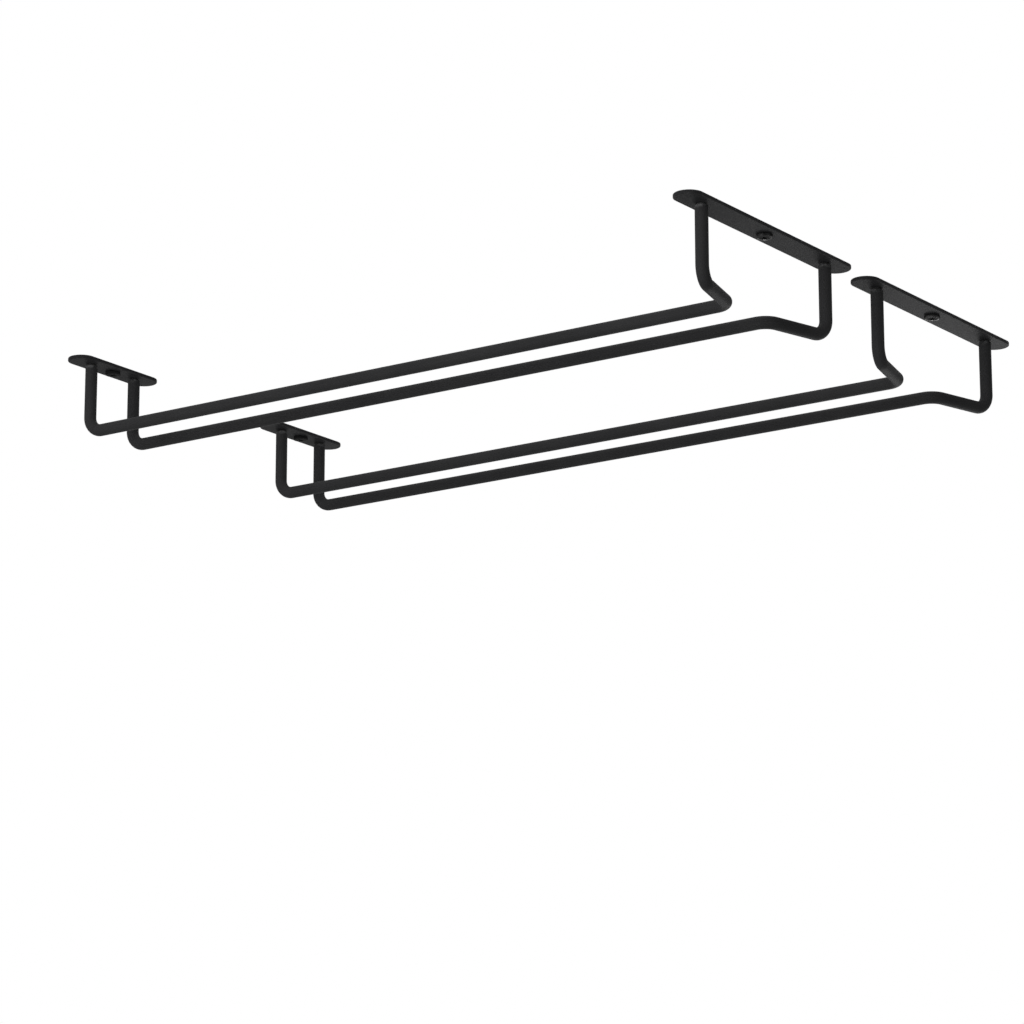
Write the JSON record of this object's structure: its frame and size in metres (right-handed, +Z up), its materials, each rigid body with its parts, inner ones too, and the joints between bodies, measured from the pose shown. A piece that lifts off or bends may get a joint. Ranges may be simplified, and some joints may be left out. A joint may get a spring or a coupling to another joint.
{
  "type": "hanging wine glass rack",
  "caption": "Under-cabinet stemware rack of bent steel wire rails with a flared mouth, welded to round-ended plates that screw up to a flat underside.",
  "frame": {"origin": "on the cabinet's underside, midway between the two racks and midway between their front and back plates", "axes": "+Z up to the cabinet, +Y from the flared front to the back, +X from the left rack to the right rack"},
  "size_m": [0.289, 0.394, 0.0393],
  "materials": {
    "plate": "fine matt black powder coat on flat steel strip",
    "wire": "fine matt black powder coat on bent steel wire",
    "screw": "blackened steel, semi-gloss"
  },
  "bodies": {
    "root": {"left_rack_front_plate": "plate", "left_rack_back_plate": "plate", "left_rack_left_wire": "wire", "left_rack_right_wire": "wire", "left_rack_front_screw": "screw", "left_rack_back_screw": "screw", "right_rack_front_plate": "plate", "right_rack_back_plate": "plate", "right_rack_left_wire": "wire", "right_rack_right_wire": "wire", "right_rack_front_screw": "screw", "right_rack_back_screw": "screw"}
  },
  "joints": []
}
